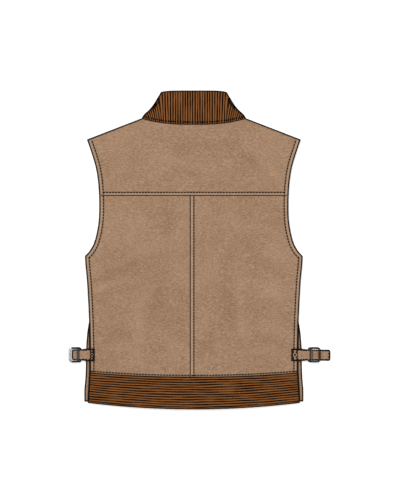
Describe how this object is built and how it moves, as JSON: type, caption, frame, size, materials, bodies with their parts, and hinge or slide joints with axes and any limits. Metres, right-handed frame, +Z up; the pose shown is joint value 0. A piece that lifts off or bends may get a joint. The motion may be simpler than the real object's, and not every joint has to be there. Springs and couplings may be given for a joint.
{
  "type": "utility vest",
  "caption": "Sleeveless utility vest laid flat on its front, with a rib-knit stand collar and back hem band, a back yoke, and side adjuster straps with wire sliders",
  "frame": {"origin": "on the surface the vest is laid on, under the middle of the whole laid-out outline, straps and sliders included", "axes": "+Y runs from the hem to the collar, +X to the wearer's right, which is the right of the picture, and +Z up out of the back"},
  "size_m": [0.6055, 0.7384, 0.0085],
  "materials": {
    "brushed_canvas": "brushed, matt, suede-like",
    "rib_knit": "ribbed knit, matt",
    "strap_canvas": "brushed, matt",
    "gunmetal": "satin gunmetal"
  },
  "bodies": {
    "root": {"back_yoke": "brushed_canvas", "back_left": "brushed_canvas", "back_right": "brushed_canvas", "front_left": "brushed_canvas", "front_right": "brushed_canvas", "back_band": "rib_knit", "collar": "rib_knit", "strap_left": "strap_canvas", "strap_right": "strap_canvas", "slider_left": "gunmetal", "slider_right": "gunmetal", "stud_1": "gunmetal", "stud_2": "gunmetal", "stud_3": "gunmetal", "stud_4": "gunmetal", "stud_5": "gunmetal"}
  },
  "joints": []
}
